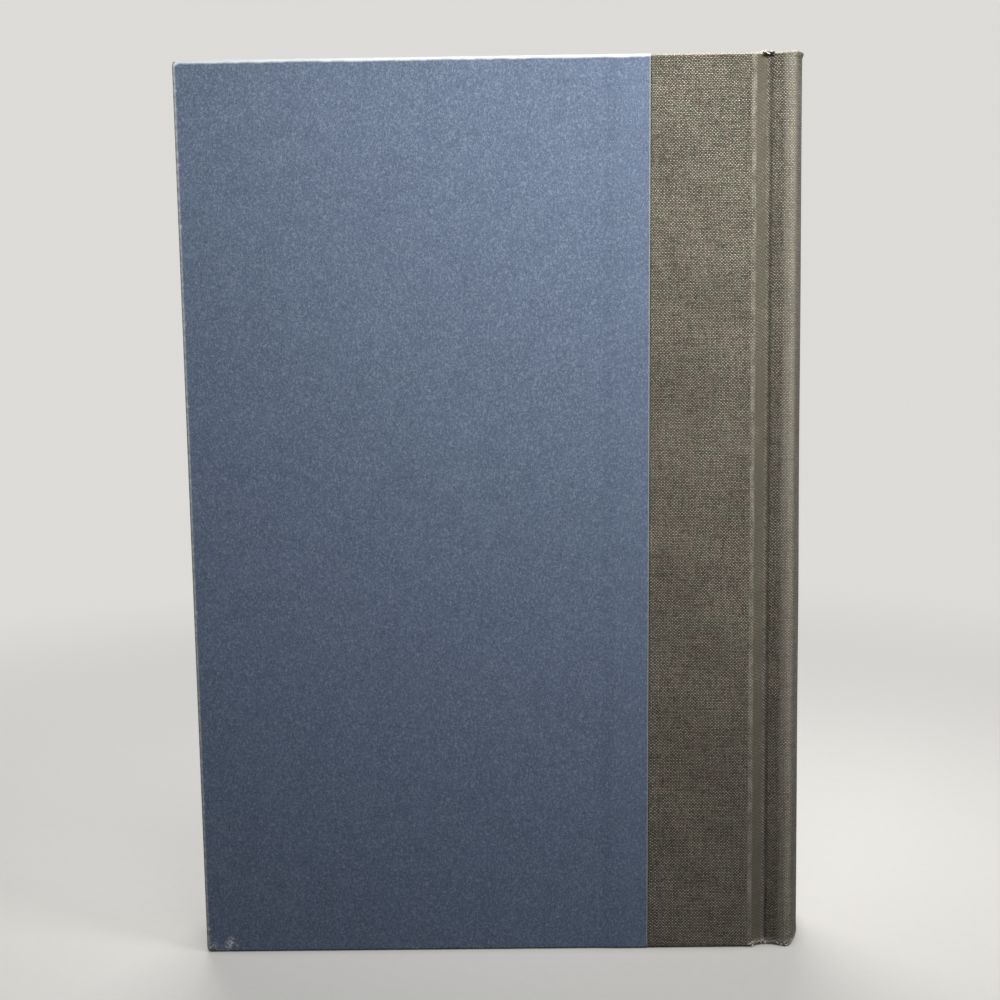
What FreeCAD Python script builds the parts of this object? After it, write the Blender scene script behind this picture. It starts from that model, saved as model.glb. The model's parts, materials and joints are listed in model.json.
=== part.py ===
import FreeCAD, Part
import math
import os

# A quarter-bound hardback book that stands on its tail. X runs from the fore-edge to the spine,
# Y from the back cover to the front cover, and Z from the tail to the head. Millimetres.

# Boards
board_height = 241.3
board_width = 150.5
board_thickness = 2.4
board_rounding = 0.6

# Coverings of the boards: cloth along the spine, paper over the rest
cloth_thickness = 0.35
paper_thickness = 0.2
end_covering = 0.35  # cloth and paper are pressed to this thickness on the head and tail edges
cover_rounding = 0.75
turn_in_width = 15.0
paper_width = 122.5  # from the board's fore-edge to the edge of the paper
cloth_under_paper = 10.8

# Pages and endpapers
pages_thickness = 25.7
flyleaf_thickness = 0.15
pastedown_thickness = 0.15
pastedown_margin = 3.0
pastedown_set_back = 0.3
square = 3.2  # how far the boards stand out past the pages
closing_gap = 0.2  # between a flyleaf and its pastedown

# Joint between board and spine
joint_width = 8.25  # from a board's hinge edge to where the pages' back begins to round
crease_distance = 3.9  # from a board's hinge edge to the bottom of the groove
groove_clearance = 0.3
edge_roll = 1.3
edge_roll_distance = 0.3
crease_radius = 0.6
shoulder_roll = 1.8
lip_width = 1.0  # cloth that stands past a board's hinge edge with the cover
lip_gap = 0.3
mull_start = 1.7
flyleaf_overrun = 1.5

# Spine
spine_round = 2.95
shoulder_flare = 1.65
shoulder_rounding = 0.5
flare_length = 2.5
flare_radius = 3.5
mull_thickness = 0.2
mull_shortfall = 16.0
mull_flap_width = 22.0
lining_thickness = 0.3
lining_half_width = 12.8
hollow_gap = 0.35
strip_thickness = 0.7
strip_half_width = 14.0
spine_shortfall = 0.5  # the spine's cloth ends this far inside the covers at head and tail

# Head and tail bands
band_height = 1.5
band_depth = 1.4
band_rounding = 0.55
band_half_width = 12.6
band_tape_length = 9.0

# Levels across the thickness, measured from the middle of the pages
pages_face = pages_thickness / 2
flyleaf_face = pages_face + flyleaf_thickness
pastedown_face = flyleaf_face + closing_gap
board_inner = pastedown_face + pastedown_thickness + cloth_thickness
board_outer = board_inner + board_thickness
cloth_face = board_outer + cloth_thickness
crease_face = pages_face + mull_thickness + groove_clearance + 2 * cloth_thickness
shoulder_level = pages_face + shoulder_flare

# Levels along the height
total_height = board_height + 2 * end_covering
pages_tail = end_covering + square
pages_head = total_height - pages_tail
spine_tail = spine_shortfall
spine_head = total_height - spine_shortfall

# Places along the width, measured from the boards' fore-edge
crease_place = board_width + crease_distance
spine_build_up = mull_thickness + lining_thickness + hollow_gap + strip_thickness + 2 * cloth_thickness
pages_crest = board_width + joint_width + spine_round
spine_crest = pages_crest + spine_build_up
pages_radius = (pages_face**2 + spine_round**2) / (2 * spine_round)
spine_radius = pages_radius + spine_build_up
middle = (spine_crest - paper_thickness) / 2

over = 20.0  # cutting shapes reach this far past what they cut
same_point = 1e-6


def block(low, high):
    """A box between two corners, its first size measured from the boards' fore-edge."""
    size = [high[i] - low[i] for i in range(3)]
    return Part.makeBox(*size, FreeCAD.Vector(low[0] - middle, low[1], low[2]))


def unit(start, end):
    return (end - start).normalize()


def turn(before, after):
    """The angle from one direction to the next, positive to the left."""
    return math.atan2(before.x * after.y - before.y * after.x, before.dot(after))


def shifted(corners, depth):
    """A path of (point, radius) corners moved to its right by depth, with its arcs' centres kept."""
    points = [corner[0] for corner in corners]
    moved = []
    for i, (point, radius) in enumerate(corners):
        before = unit(points[max(i - 1, 0)], points[max(i, 1)])
        after = unit(points[min(i, len(points) - 2)], points[min(i + 1, len(points) - 1)])
        angle = turn(before, after)
        side = FreeCAD.Vector(before.y + after.y, -before.x - after.x, 0).normalize()
        place = point + side * (depth / math.cos(angle / 2))
        moved.append((place, radius + depth * (1 if angle > 0 else -1) if radius else 0))
    return moved


def run(start, end):
    """A straight edge, or none where an arc already ends at the next one's start."""
    if start.distanceToPoint(end) < same_point:
        return []
    return [Part.LineSegment(start, end).toShape()]


def path_edges(corners):
    """Straight runs between the corners, with an arc at each corner that has a radius."""
    edges = []
    here = corners[0][0]
    for i in range(1, len(corners)):
        point, radius = corners[i]
        if radius and i < len(corners) - 1:
            before = unit(corners[i - 1][0], point)
            after = unit(point, corners[i + 1][0])
            angle = abs(turn(before, after))
            reach = radius * math.tan(angle / 2)
            start = point - before * reach
            end = point + after * reach
            crown = (after - before).normalize() * (radius / math.cos(angle / 2) - radius)
            edges.extend(run(here, start))
            edges.append(Part.Arc(start, point + crown, end).toShape())
            here = end
        else:
            edges.extend(run(here, point))
            here = point
    return edges


def ribbon(corners, near, far, bottom, top):
    """A strip that follows a path, between two depths to its right and two heights."""
    first = shifted(corners, near)
    second = shifted(corners, far)[::-1]
    edges = path_edges(first)
    edges.extend(run(first[-1][0], second[0][0]))
    edges.extend(path_edges(second))
    edges.extend(run(second[-1][0], first[0][0]))
    return raised(edges, bottom, top)


def raised(edges, bottom, top):
    solid = Part.Face(Part.Wire(edges)).extrude(FreeCAD.Vector(0, 0, top - bottom))
    solid.translate(FreeCAD.Vector(0, 0, bottom))
    return solid


def both_sides(half):
    """A path's corners on the front side, with the same corners mirrored for the back side."""
    front = [(FreeCAD.Vector(x - middle, y, 0), radius) for x, y, radius in half]
    back = [(FreeCAD.Vector(p.x, -p.y, 0), radius) for p, radius in front[::-1] if p.y > 0]
    return front + back


def arc_tip(crest, radius, level):
    """Where the tangents of a spine's arc at the two levels meet on the middle plane."""
    return crest - radius + radius**2 / math.sqrt(radius**2 - level**2)


def tangent_place(crest, radius, level, height):
    """Where the arc's tangent at one level reaches another height."""
    flat = math.sqrt(radius**2 - level**2)
    return crest - radius + flat - (height - level) * level / flat


# The tips of the pages' shoulders
shoulder_place = tangent_place(pages_crest, pages_radius, pages_face, shoulder_level)


def cloth_path():
    """The outer face of the cloth from the front board, through both grooves, to the back board."""
    shoulder = tangent_place(spine_crest, spine_radius, shoulder_level, cloth_face)
    return both_sides([
        (board_width - cloth_under_paper, cloth_face, 0),
        (board_width + edge_roll_distance, cloth_face, edge_roll),
        (crease_place, crease_face, crease_radius),
        (shoulder, cloth_face, shoulder_roll),
        (arc_tip(spine_crest, spine_radius, shoulder_level), 0, spine_radius),
    ])


def pages_path(start):
    """The spine of the pages: flat sides that flare out to the shoulders, and the round back."""
    return both_sides([
        (start, pages_face, 0),
        (shoulder_place - flare_length, pages_face, flare_radius),
        (shoulder_place, shoulder_level, shoulder_rounding),
        (arc_tip(pages_crest, pages_radius, pages_face), 0, pages_radius),
    ])


def round_strip(crest, radius, half_width, bottom, top):
    """A strip of the round back from its outer radius to its inner one."""
    outer, inner = radius
    low = (crest - half_width, -half_width, bottom)
    window = block(low, (crest + over, half_width, top))
    centre = FreeCAD.Vector(crest - outer - middle, 0, bottom)
    tube = Part.makeCylinder(outer, top - bottom, centre)
    tube = tube.cut(Part.makeCylinder(inner, top - bottom, centre))
    return tube.common(window).Solids[0]


def on_pages(near, far, half_width, bottom, top):
    """A strip glued round the pages' back, between two distances out from it."""
    radius = (pages_radius + far, pages_radius + near)
    return round_strip(pages_crest + far, radius, half_width, bottom, top)


def in_spine(near, far, bottom, top):
    """A strip inside the spine's cloth, between two depths below its outer face."""
    radius = (spine_radius - near, spine_radius - far)
    return round_strip(spine_crest - near, radius, strip_half_width, bottom, top)


def text_block():
    """All the pages as one solid: its fore-edge is as hollow as its back is round."""
    corners = pages_path(square)
    hollow = arc_tip(square + spine_round, pages_radius, pages_face)
    corners.append((FreeCAD.Vector(hollow - middle, 0, 0), pages_radius))
    corners.append(corners[0])
    return raised(path_edges(corners), pages_tail, pages_head)


def flyleaf():
    low = (square, pages_face, pages_tail)
    return block(low, (board_width + flyleaf_overrun, flyleaf_face, pages_head))


def spine_mull():
    path = pages_path(board_width + mull_start)
    return ribbon(path, -mull_thickness, 0, pages_tail + mull_shortfall, pages_head - mull_shortfall)


def spine_lining():
    outer = mull_thickness + lining_thickness
    return on_pages(mull_thickness, outer, lining_half_width, pages_tail, pages_head)


def head_band():
    """A rolled band on the pages' head, with its tape glued down the round back."""
    top = pages_head + band_height
    bead = on_pages(-band_depth, mull_thickness, band_half_width, pages_head, top)
    rims = [e for e in bead.Edges if e.BoundBox.ZMin > top - band_rounding and e.Length > band_half_width]
    bead = bead.makeFillet(band_rounding, rims)
    low = pages_head - band_tape_length
    return bead.fuse(on_pages(0, mull_thickness, band_half_width, low, pages_head)).removeSplitter()


def spine_strip():
    low = spine_tail + cloth_thickness
    return in_spine(cloth_thickness, cloth_thickness + strip_thickness, low, spine_head - cloth_thickness)


def spine_cloth():
    """Cloth over the strip and both grooves, turned in at head and tail."""
    path = cloth_path()
    depth = strip_thickness + 2 * cloth_thickness
    cloth = ribbon(path, 0, cloth_thickness, spine_tail, spine_head)
    start = board_width + lip_width + lip_gap
    tail = (spine_tail, spine_tail + cloth_thickness, spine_tail + turn_in_width)
    head = (spine_head, spine_head - cloth_thickness, spine_head - turn_in_width)
    for end, fold, limit in (tail, head):
        low, high = sorted((end, limit))
        window = block((shoulder_place, -strip_half_width, low), (spine_crest, strip_half_width, high))
        beside = ribbon(path, cloth_thickness, 2 * cloth_thickness, low, high).cut(window)
        behind = in_spine(cloth_thickness + strip_thickness, depth, low, high)
        low, high = sorted((end, fold))
        cloth = cloth.fuse([beside, behind, in_spine(0, depth, low, high)])
    kept = block((start, -cloth_face, 0), (spine_crest + over, cloth_face, total_height))
    return cloth.common(kept).removeSplitter()


def rounded(box, radius):
    """The box with the edges round its two large faces rounded."""
    rims = [e for e in box.Edges if e.BoundBox.YLength < radius]
    return box.makeFillet(radius, rims)


def board():
    low = (0, board_inner, end_covering)
    high = (board_width, board_outer, end_covering + board_height)
    return rounded(block(low, high), board_rounding)


def covered(outer, inner, ends, fore):
    """The board thickened by its coverings; it runs on past the hinge edge, to be cut there."""
    low = (-fore, board_inner - inner, end_covering - ends)
    high = (board_width + over, board_outer + outer, total_height - end_covering + ends)
    return rounded(block(low, high), cover_rounding)


def beside_paper_edge(near, far):
    """The region between two distances from the paper's edge, towards the spine."""
    low = (paper_width + near, 0, 0)
    return block(low, (paper_width + far, cloth_face + over, total_height))


def window_between_turn_ins():
    """The middle of the board's inner face, which neither paper nor cloth covers."""
    low = (turn_in_width, 0, turn_in_width)
    return block(low, (board_width + over, board_inner, total_height - turn_in_width))


def cloth_below_paper():
    """The edge of the cloth that the paper is pasted over."""
    pressed = end_covering - paper_thickness
    return covered(cloth_thickness, pressed, pressed, 0).common(beside_paper_edge(-cloth_under_paper, 0))


def cover_paper(card):
    plain = covered(paper_thickness, paper_thickness, end_covering, paper_thickness)
    plain = plain.common(beside_paper_edge(-paper_width - over, -cloth_under_paper))
    stepped = covered(cloth_thickness + paper_thickness, end_covering, end_covering, 0)
    stepped = stepped.common(beside_paper_edge(-cloth_under_paper - paper_thickness, 0))
    paper = plain.fuse(stepped).cut([card, cloth_below_paper(), window_between_turn_ins()])
    return paper.removeSplitter()


def cloth_flap(card):
    """Cloth on the board, with the lip that stands past the hinge edge into the groove."""
    shown = covered(cloth_thickness, cloth_thickness, end_covering, 0)
    shown = shown.common(beside_paper_edge(0, board_width - paper_width))
    beyond = ribbon(cloth_path(), -over, 0, 0, total_height)
    flap = shown.fuse(cloth_below_paper()).cut([card, window_between_turn_ins(), beyond])
    low = end_covering + cover_rounding
    lip = ribbon(cloth_path(), 0, cloth_thickness, low, total_height - low)
    kept = block((board_width, 0, low), (board_width + lip_width, cloth_face, total_height - low))
    return flap.fuse(lip.common(kept)).removeSplitter()


def mull_flap():
    low = (board_width - mull_flap_width, board_inner - mull_thickness, pages_tail + mull_shortfall)
    return block(low, (board_width - pastedown_set_back, board_inner, pages_head - mull_shortfall))


def pastedown(beneath):
    low = (pastedown_margin, pastedown_face, end_covering + pastedown_margin)
    high = (board_width - pastedown_set_back, board_inner, total_height - low[2])
    return block(low, high).cut(beneath)


def cover_pieces():
    """The five pieces of the front cover, by the names that follow the cover's own."""
    card = board()
    paper = cover_paper(card)
    cloth = cloth_flap(card)
    mull = mull_flap()
    return {
        "board": card,
        "cover_paper": paper,
        "cloth_flap": cloth,
        "mull_flap": mull,
        "pastedown": pastedown([paper, cloth, mull]),
    }


def mirrored(shape, axis, place=0.0):
    return shape.mirror(axis * place, axis)


def pieces():
    across = FreeCAD.Vector(0, 1, 0)
    upward = FreeCAD.Vector(0, 0, 1)
    parts = {
        "text_block": text_block(),
        "spine_mull": spine_mull(),
        "spine_lining": spine_lining(),
        "headband": head_band(),
        "spine_strip": spine_strip(),
        "spine_cloth": spine_cloth(),
    }
    parts["tailband"] = mirrored(parts["headband"], upward, total_height / 2)
    sides = cover_pieces()
    sides["flyleaf"] = flyleaf()
    for name, shape in sides.items():
        parts["front_" + name] = shape
        parts["back_" + name] = mirrored(shape, across)
    return parts


os.makedirs("parts", exist_ok=True)
for node, shape in pieces().items():
    shape.exportStep("parts/" + node + ".step")
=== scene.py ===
import json
import math
import random

import bmesh
import bpy
from bpy.props import FloatProperty, FloatVectorProperty, IntProperty, PointerProperty
from bpy.types import Operator, Panel, PropertyGroup
from mathutils import Matrix, Vector, noise
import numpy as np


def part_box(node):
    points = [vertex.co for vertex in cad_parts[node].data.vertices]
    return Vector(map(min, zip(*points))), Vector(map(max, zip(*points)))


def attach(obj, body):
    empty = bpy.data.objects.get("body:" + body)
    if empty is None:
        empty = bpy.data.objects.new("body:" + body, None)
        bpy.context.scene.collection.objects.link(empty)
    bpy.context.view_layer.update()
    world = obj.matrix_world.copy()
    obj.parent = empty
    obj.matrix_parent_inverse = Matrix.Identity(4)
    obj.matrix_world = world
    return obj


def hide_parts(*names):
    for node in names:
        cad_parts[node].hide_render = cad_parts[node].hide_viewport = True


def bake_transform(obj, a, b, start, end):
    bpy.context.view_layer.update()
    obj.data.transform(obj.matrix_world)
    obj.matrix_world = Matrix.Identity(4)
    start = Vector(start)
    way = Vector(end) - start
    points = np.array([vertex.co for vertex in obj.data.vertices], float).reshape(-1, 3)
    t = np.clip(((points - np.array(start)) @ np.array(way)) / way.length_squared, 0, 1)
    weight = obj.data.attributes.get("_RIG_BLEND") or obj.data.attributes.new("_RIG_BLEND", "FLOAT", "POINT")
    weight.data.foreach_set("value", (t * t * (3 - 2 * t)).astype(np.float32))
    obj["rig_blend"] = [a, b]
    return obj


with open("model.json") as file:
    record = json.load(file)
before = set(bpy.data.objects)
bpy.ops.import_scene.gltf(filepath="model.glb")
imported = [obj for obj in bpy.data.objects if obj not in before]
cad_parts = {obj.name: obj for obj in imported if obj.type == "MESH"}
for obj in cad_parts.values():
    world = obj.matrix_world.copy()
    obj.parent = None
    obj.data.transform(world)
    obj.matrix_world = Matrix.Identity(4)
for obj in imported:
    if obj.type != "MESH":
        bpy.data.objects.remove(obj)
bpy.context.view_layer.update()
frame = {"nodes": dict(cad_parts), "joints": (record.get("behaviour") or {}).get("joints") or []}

bl_info = {
    "name": "Quarter Bound Book",
    "version": (1, 0, 0),
    "blender": (4, 5, 0),
    "location": "View3D > Sidebar > Book",
    "description": "Dresses the frame of a hardback book in paper, cloth, endpapers, bands and pages",
    "category": "Add Mesh",
}

MM = 0.001
SIDES = {"back": -1, "front": 1}

# Places that the frame gives, taken on the back cover, whose outer face looks along -Y
BOARD_LOW, BOARD_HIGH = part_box("back_board")
PAPER_LOW, PAPER_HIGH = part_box("back_cover_paper")
CLOTH_LOW, CLOTH_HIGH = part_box("back_cloth_flap")
SPINE_LOW, SPINE_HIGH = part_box("spine_cloth")
STRIP_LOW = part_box("spine_strip")[0]
PASTEDOWN_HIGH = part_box("back_pastedown")[1]
FLYLEAF_LOW, FLYLEAF_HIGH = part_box("back_flyleaf")
PAGES_LOW, PAGES_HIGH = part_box("text_block")
BAND_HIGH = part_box("headband")[1]
HINGE = Vector(next(j["pos_m"] for j in frame["joints"] if j["child"] == "back_cover"))
HEAD = BOARD_HIGH.z + (BOARD_LOW.z - CLOTH_LOW.z)
TAIL = CLOTH_LOW.z
MIDDLE_HEIGHT = (HEAD + TAIL) / 2

# How far the cloth's ends draw back where the paper covers them
PAPER_STEP = 0.25 * MM

# Shares of a sheet's thickness that its skin takes, so that it stays clear of what lies under it
PAPER_WALL = 0.95
CLOTH_WALL = 0.9
LEAF_WALL = 0.6

# The cuts over the cover paper, and how far they keep from its edges
ROUNDING_SEGMENTS = 4
ROUNDING_GAP = 0.2 * MM
GRID_FROM_FORE = 12 * MM
GRID_FROM_CLOTH = 18 * MM
GRID_FROM_ENDS = 8 * MM
GRID_ACROSS = 12
GRID_UP = 32
RIDGE_CUTS = 12

# The cloth's line across the book, and its rows: near the ends by their distance in millimetres
FACE_CUTS = 13
ROLL_SEGMENTS = 6
SPINE_STEPS = 26
LONG_EDGE = 1.2 * MM
LONG_EDGE_CUTS = 3
FOLD_STEPS = 4
INNER_ROWS = (9.0, 4.0, 2.0, 1.1)
OUTER_ROWS = (1.0, 1.3, 1.7, 2.2, 3.0, 4.2, 6.0, 8.5)
ROWS_FROM_ENDS = 12 * MM
ROWS = 48

# How far the cloth's ends stand out: over the groove at the head and tail, and on the spine
GROOVE_WIDTH = 5.2 * MM
HEAD_BRIDGE = 1.9 * MM
HEAD_FLARE = 0.4 * MM
TAIL_BRIDGE = 0.7 * MM
TAIL_FLARE = 0.12 * MM
SWAY = 0.10 * MM

# How far the cloth's ends reach past the boards' ends or stay short of them
SPINE_RISE = 0.12 * MM
SHOULDER_RISE = 0.3 * MM
SHOULDER_WIDTH = 8 * MM
SPINE_HANG = 0.22 * MM
HANG_WIDTH = 9 * MM
TAIL_WAVER = 0.12 * MM

# Where each joint begins and ends to bend, and how far the leaf over it overlaps its neighbours
JOINT_START = Vector((HINGE.x + 2.2 * MM, CLOTH_LOW.y, MIDDLE_HEIGHT))
JOINT_END = Vector((BOARD_HIGH.x + 0.5 * MM, CLOTH_LOW.y, MIDDLE_HEIGHT))
JOINT_CUTS = 13
FLYLEAF_LAP = 0.4 * MM
PASTEDOWN_LAP = 0.6 * MM
LEAF_LIFT = 0.04 * MM

# Frayed fibres: their seed, where on the cloth's ends they stand, and their sizes in millimetres
FRAY_SEED = 5
FRAY_HEIGHT = 1.6 * MM
FRAY_FROM_MIDDLE = 13.6 * MM
HEAD_FRAY_OFFSET = 1.6 * MM
HEAD_FRAY_HALF = 1.5 * MM
HEAD_FRAY_DEPTH = 0.4 * MM
FIBRE_LENGTHS = (0.25, 0.75)
FIBRE_WIDTHS = (0.08, 0.22)
FIBRE_TILTS = (-1.2, 1.2)
FIBRE_TURNS = (0.2, 2.9)
FIBRE_CLEARANCE = 0.05 * MM

# Head and tail bands: their depth, and how far the pages' back bulges
BAND_DEPTH = 1.6 * MM
ROUND_DEPTH = 2.95 * MM
BEAD_RADIUS = BAND_DEPTH * 0.6
BEAD_SEGMENTS = 12
BEAD_WAIST = 0.9
BEAD_SWELL = 0.14
STITCH_STEPS = 4

# The floor's half width, and the distances over which it fades into the backdrop
FLOOR_HALF = 4.0
FADE_START = 0.14
FADE_END = 0.5

# Share of its colour that the lamps give the floor near the book, and the contact shadow's reach
FLOOR_LIGHT = 0.75
CONTACT_REACH = 8 * MM

CAMERA_PLACE = Vector((7.4, -542.2, 213.7)) * MM
CAMERA_YAW = math.radians(-0.701)
CAMERA_PITCH = math.radians(9.448)
CAMERA_ROLL = math.radians(-0.824)

KEY_PLACE = Vector((0.10, BOARD_LOW.y - 0.29, 0.39))
KEY_SIZE = (0.28, 0.24)
KEY_TURN = -0.06
KEY_TILT = math.radians(17.5)
KEY_SPREAD = math.radians(90)
SIDE_PLACE = Vector((0.42, -0.24, 0.46))
SIDE_TARGET = Vector((SPINE_HIGH.x, 0, MIDDLE_HEIGHT + 0.07))
SIDE_SIZE = (0.25, 0.25)
BACK_PLACE = Vector((-0.05, 0.50, 0.34))
BACK_TARGET = Vector((0, 0, MIDDLE_HEIGHT))
BACK_SIZE = (0.5, 0.3)
SIDE_SPREAD = math.radians(80)
LAMP_COLOUR = (1, 0.985, 0.955)
SKY_COLOUR = (1, 0.99, 0.97)

# Pale specks on the back cover: millimetres from the fore-edge and from the ground, and their radius
SPECKS = (
    (64.6, 202.5, 0.32), (20.7, 168.9, 0.30), (19.6, 146.3, 0.36), (5.1, 176.5, 0.22),
    (17.3, 229.2, 0.24), (21.0, 231.5, 0.24), (25.2, 24.8, 0.24), (32.3, 15.7, 0.24),
    (15.4, 12.2, 0.20), (54.6, 10.6, 0.24), (6.0, 6.7, 0.34), (3.0, 7.6, 0.26),
    (56.7, 20.4, 0.20), (48.1, 14.1, 0.20), (61.6, 2.1, 0.26), (37.5, 1.5, 0.26),
)

# Scuffed places near the lower outer corner, measured in the same way
SCUFFS = (
    (7.2, 2.6, 2.6), (6.0, 1.2, 1.6), (0.7, 3.2, 1.6), (0.5, 1.6, 1.4), (0.4, 7.0, 1.2), (0.4, 12.0, 1.0),
)


def length(name, description, default, precision=2):
    """A size in metres that the sidebar shows in the scene's own length unit."""
    return FloatProperty(
        name=name, description=description, default=default, min=0.0, unit="LENGTH", precision=precision
    )


def colour(name, description, default):
    return FloatVectorProperty(
        name=name, description=description, default=default, size=3, min=0.0, max=1.0, subtype="COLOR"
    )


def power(name, description, default):
    return FloatProperty(name=name, description=description, default=default, min=0.0, unit="POWER")


def brightness(name, description, default):
    return FloatProperty(
        name=name, description=description, default=default, min=0.0, max=1.0, subtype="FACTOR"
    )


class BookPaperSettings(PropertyGroup):
    """Paper on the covers."""

    thickness: length("Thickness", "Thickness of the cover paper", 0.2 * MM)
    rounding: length("Rounding", "Radius of the paper where it turns round the board", 0.75 * MM)
    turn_in: length("Turn-in", "Width of paper folded over to the board's inner face", 15 * MM)
    lean: length("Lean", "How much further the paper reaches at the head than at the tail", 1.4 * MM)
    ridge_head: length("Ridge at head", "From the paper's edge to the hidden cloth's edge, head", 10.4 * MM)
    ridge_tail: length("Ridge at tail", "From the paper's edge to the hidden cloth's edge, tail", 11.2 * MM)
    ridge_width: length("Ridge width", "Width over which the paper climbs on the cloth", 4.6 * MM)
    corner: length("Corners", "Radius of the cover's blunted corners", 1.4 * MM)
    tint: colour("Colour", "Colour of the cover paper", (0.122, 0.167, 0.264))
    fibre: colour("Fibres", "Colour of the pale fibres in the paper", (0.295, 0.362, 0.460))
    core: colour("Core", "Colour of the paper where it is cut or worn through", (0.78, 0.82, 0.79))
    # Pale colour for worn specks and scuffs, and for the painted highlight on the rounded rim at the head
    rubbed_and_highlit: colour("Rubbed", "Colour of the paper where its rim is rubbed white", (0.85, 0.90, 0.94))


class BookClothSettings(PropertyGroup):
    """Cloth on the spine and along the covers."""

    thickness: length("Thickness", "Thickness of the book cloth", 0.35 * MM)
    turn_in: length("Turn-in", "Width of cloth folded over at head and tail", 15 * MM)
    hinge_roll: length("Hinge roll", "Radius of the cloth over the board's hinge edge", 1.6 * MM)
    crease_roll: length("Crease", "Radius at the bottom of the groove", 0.6 * MM)
    shoulder_roll: length("Shoulder", "Radius of the cloth over the spine's shoulder", 1.5 * MM)
    fold_rounding: length("Fold rounding", "Largest radius of the cloth's fold at head and tail", 0.75 * MM)
    strip_thickness: length("Strip", "Thickness of the card strip inside the spine", 0.7 * MM)
    slack_head: length("Slack at head", "How far the cloth stands off its strip at the head", 0.0)
    slack_tail: length("Slack at tail", "How far the cloth stands off its strip at the tail", 0.75 * MM)
    spine_curve: length("Spine curve", "Radius of the round spine", 37 * MM)
    spine_reach: length("Round half width", "Half the width of the round part of the spine", 14.5 * MM)
    thread_pitch: length("Thread pitch", "Distance from thread to thread", 0.43 * MM, 3)
    # The weft's paleness beside the warp is partly the cloth's own colour and partly a painted highlight from
    # light above
    weft: colour("Weft", "Colour of the threads that run across", (0.415, 0.378, 0.318))
    warp: colour("Warp", "Colour of the threads that run up", (0.142, 0.127, 0.104))
    # Also the colour of the painted shade in the groove, beside the paper's edge and under the fold at the
    # head
    gap: colour("Gaps", "Colour between the threads", (0.028, 0.025, 0.019))
    # Darker colour of the flattened joint, partly painted shade
    pressed_and_shaded: colour("Pressed cloth", "Colour of the cloth in the pressed joint", (0.127, 0.119, 0.090))
    fibres: IntProperty(
        name="Fibres", description="Frayed fibres on the lower edge of each half", default=30, min=0
    )
    # Also the colour of the painted highlights on the weft, the spine's crest, the head rim and the hinge
    # edge
    worn: colour("Worn threads", "Colour of rubbed and frayed cloth", (0.74, 0.70, 0.61))


class BookInsideSettings(PropertyGroup):
    """Endpapers, pages and bands."""

    endpaper: colour("Endpapers", "Colour of the endpapers", (0.72, 0.69, 0.61))
    page: colour("Pages", "Colour of the pages' edges", (0.74, 0.70, 0.60))
    band_light: colour("Band, light", "Light thread of the head and tail bands", (0.68, 0.65, 0.57))
    band_dark: colour("Band, dark", "Dark thread of the head and tail bands", (0.07, 0.09, 0.14))
    band_stitch: length("Stitch", "Width of one wound thread of a band", 0.55 * MM)
    leaf: length("Leaf", "Thickness of an endpaper", 0.15 * MM)


class BookStageSettings(PropertyGroup):
    """Floor, lamps and camera."""

    floor: colour("Floor", "Colour of the floor", (0.62, 0.61, 0.59))
    backdrop: colour("Backdrop", "Pale colour that the camera sees all round", (0.72, 0.71, 0.69))
    bounce: brightness("Bounce", "Share of the light that the floor throws back at the book", 0.15)
    sky: brightness("Surroundings", "Strength of the light from all round", 0.08)
    key_lamp: power("Key lamp", "Power of the lamp above and in front", 0.52)
    side_lamp: power("Side lamp", "Power of the lamp beside the spine", 0.30)
    back_lamp: power("Back lamp", "Power of the lamp behind the front cover", 0.95)
    lens: FloatProperty(
        name="Lens", description="Focal length on a 36 mm wide picture", default=72.0, min=1.0, unit="CAMERA"
    )


def remapped(value, low, high):
    """Where a value lies between two others, from 0 to 1, with smooth ends."""
    share = min(max((value - low) / (high - low), 0.0), 1.0)
    return share * share * (3 - 2 * share)


def bump_at(value, centre, width):
    """A smooth rise and fall round a centre, 1 in the middle and 0 at half the width."""
    return 1 - remapped(abs(value - centre), 0, width / 2)


def between(start, end, count):
    """Evenly spaced numbers, both ends included."""
    return [start + (end - start) * i / count for i in range(count + 1)]


def shade(colour, amount):
    """A colour made darker or paler."""
    return tuple(c * amount for c in colour)


def to_side(side):
    """What turns a place on the back half into the same place on a side."""
    return Vector((1, -SIDES[side], 1))


def finished(bm, name, materials):
    """The bmesh as a smooth-shaded object at the origin, with its open edges kept sharp."""
    for face in bm.faces:
        face.smooth = True
    for edge in bm.edges:
        edge.smooth = not edge.is_boundary
    mesh = bpy.data.meshes.new(name)
    bm.to_mesh(mesh)
    bm.free()
    for material in materials:
        mesh.materials.append(material)
    piece = bpy.data.objects.new(name, mesh)
    bpy.context.scene.collection.objects.link(piece)
    return piece


def thicken(piece, thickness, rim):
    """Gives a sheet its thickness on its inner side; inner side and rim take other materials."""
    wall = piece.modifiers.new("thickness", "SOLIDIFY")
    wall.thickness = thickness
    wall.offset = -1
    wall.use_quality_normals = True
    wall.material_offset = rim
    wall.material_offset_rim = rim


def face_away(bm, inside):
    """Turns a sheet's faces so that they look away from a point behind it."""
    looks_out = sum(f.calc_area() * f.normal.dot(f.calc_center_median() - inside) for f in bm.faces)
    if looks_out < 0:
        bmesh.ops.reverse_faces(bm, faces=bm.faces)


def on_side(bm, side, inside):
    """Moves a sheet made for the back cover to the side where it belongs."""
    if side == "front":
        bmesh.ops.scale(bm, vec=(1, -1, 1), verts=bm.verts)
        inside = Vector((inside.x, -inside.y, inside.z))
    bm.normal_update()
    face_away(bm, inside)


def cut(bm, point, normal, remove=False):
    """Cuts the mesh by a plane; what lies beyond it goes if remove is set."""
    everything = bm.verts[:] + bm.edges[:] + bm.faces[:]
    bmesh.ops.bisect_plane(
        bm, geom=everything, dist=1e-7, plane_co=point, plane_no=normal, clear_outer=remove
    )


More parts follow.
